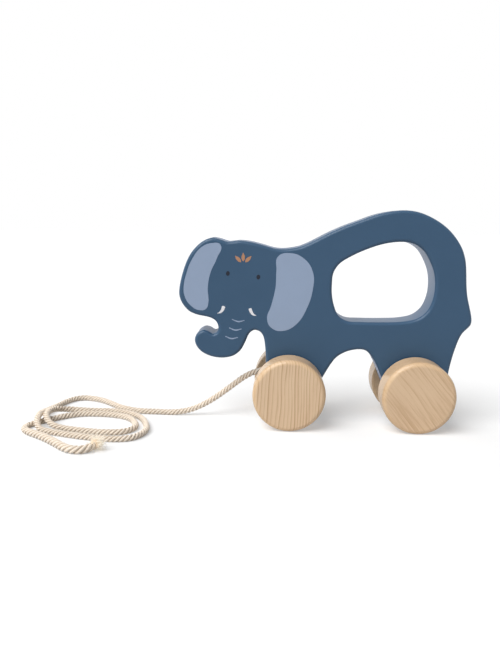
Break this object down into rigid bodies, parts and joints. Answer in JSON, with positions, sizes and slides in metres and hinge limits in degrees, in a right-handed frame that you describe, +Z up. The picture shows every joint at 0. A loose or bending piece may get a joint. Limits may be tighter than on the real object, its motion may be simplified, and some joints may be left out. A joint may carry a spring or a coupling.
{
  "type": "pull along toy",
  "caption": "Wooden pull-along elephant: a painted board with a handle hole, on beech wheels glued to turning dowel axles, with a cotton pull rope laid in loose loops.",
  "frame": {"origin": "middle of the toy's own box at the floor, without the rope", "axes": "+X towards the tail, so the toy is pulled along -X; +Y across the board, away from the side seen first; +Z up"},
  "size_m": [0.2818, 0.1104, 0.1381],
  "materials": {
    "painted_board": "satin paint",
    "beech": "sanded and oiled",
    "dowel": "plain",
    "washer": "plain",
    "rope": "twisted cotton"
  },
  "bodies": {
    "board": {"body": "painted_board", "rope_root": "rope", "pull_rope": "rope", "rope_coil": "rope", "rope_tail": "rope"},
    "front_wheels": {"front_axle": "dowel", "front_left_wheel": "beech", "front_right_wheel": "beech", "front_left_washer": "washer", "front_right_washer": "washer"},
    "rear_wheels": {"rear_axle": "dowel", "rear_left_wheel": "beech", "rear_right_wheel": "beech", "rear_left_washer": "washer", "rear_right_washer": "washer"}
  },
  "joints": [
    {"name": "front_axle_spin", "type": "hinge", "parent": "board", "child": "front_wheels", "pos_m": [-0.022, 0, 0.023], "axis": [0, 1, 0], "continuous": true},
    {"name": "rear_axle_spin", "type": "hinge", "parent": "board", "child": "rear_wheels", "pos_m": [0.0587, 0, 0.023], "axis": [0, 1, 0], "continuous": true}
  ]
}
